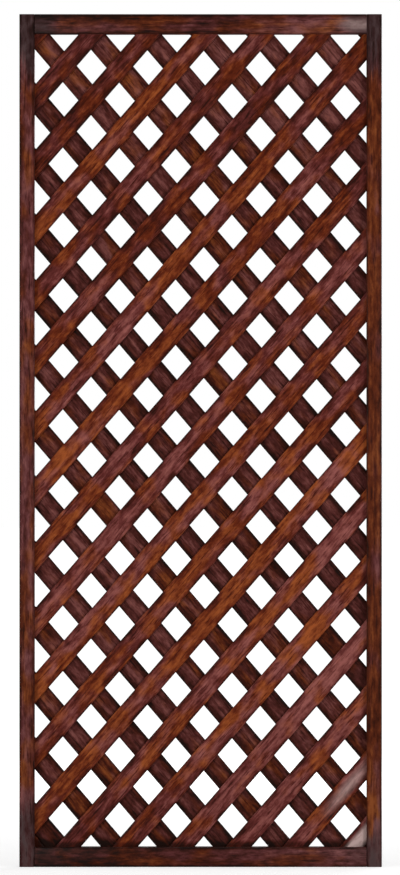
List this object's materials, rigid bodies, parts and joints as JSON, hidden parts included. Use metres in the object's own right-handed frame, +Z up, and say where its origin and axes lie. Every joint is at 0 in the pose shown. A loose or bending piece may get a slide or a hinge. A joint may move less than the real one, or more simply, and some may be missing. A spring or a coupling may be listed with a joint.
{
  "type": "lattice garden screen",
  "caption": "Tall rectangular garden screen in dark red-brown stained wood: a plain frame filled with crossed diagonal laths and diamond gaps between them.",
  "frame": {"origin": "middle of the underside of the frame, where the screen stands", "axes": "+Z up along the stiles, +X to the right as seen from the front, -Y out of the front face, the side on which the laths rise to the right"},
  "size_m": [0.765, 0.04, 1.8],
  "materials": {
    "frame_wood": "dark red-brown stain, satin varnish",
    "front_lath_wood": "red-brown stain, satin varnish",
    "back_lath_wood": "dark brown stain, satin varnish",
    "screw_steel": "zinc plated"
  },
  "bodies": {
    "root": {"stile_left": "frame_wood", "stile_right": "frame_wood", "rail_bottom": "frame_wood", "rail_top": "frame_wood", "front_lath_01": "front_lath_wood", "front_lath_02": "front_lath_wood", "front_lath_03": "front_lath_wood", "front_lath_04": "front_lath_wood", "front_lath_05": "front_lath_wood", "front_lath_06": "front_lath_wood", "front_lath_07": "front_lath_wood", "front_lath_08": "front_lath_wood", "front_lath_09": "front_lath_wood", "front_lath_10": "front_lath_wood", "front_lath_11": "front_lath_wood", "front_lath_12": "front_lath_wood", "front_lath_13": "front_lath_wood", "front_lath_14": "front_lath_wood", "front_lath_15": "front_lath_wood", "front_lath_16": "front_lath_wood", "front_lath_17": "front_lath_wood", "front_lath_18": "front_lath_wood", "front_lath_19": "front_lath_wood", "back_lath_01": "back_lath_wood", "back_lath_02": "back_lath_wood", "back_lath_03": "back_lath_wood", "back_lath_04": "back_lath_wood", "back_lath_05": "back_lath_wood", "back_lath_06": "back_lath_wood", "back_lath_07": "back_lath_wood", "back_lath_08": "back_lath_wood", "back_lath_09": "back_lath_wood", "back_lath_10": "back_lath_wood", "back_lath_11": "back_lath_wood", "back_lath_12": "back_lath_wood", "back_lath_13": "back_lath_wood", "back_lath_14": "back_lath_wood", "back_lath_15": "back_lath_wood", "back_lath_16": "back_lath_wood", "back_lath_17": "back_lath_wood", "back_lath_18": "back_lath_wood", "back_lath_19": "back_lath_wood", "corner_strip": "back_lath_wood", "screw_bottom_left_lower": "screw_steel", "screw_bottom_left_upper": "screw_steel", "screw_bottom_right_lower": "screw_steel", "screw_bottom_right_upper": "screw_steel", "screw_top_left_lower": "screw_steel", "screw_top_left_upper": "screw_steel", "screw_top_right_lower": "screw_steel", "screw_top_right_upper": "screw_steel"}
  },
  "joints": []
}
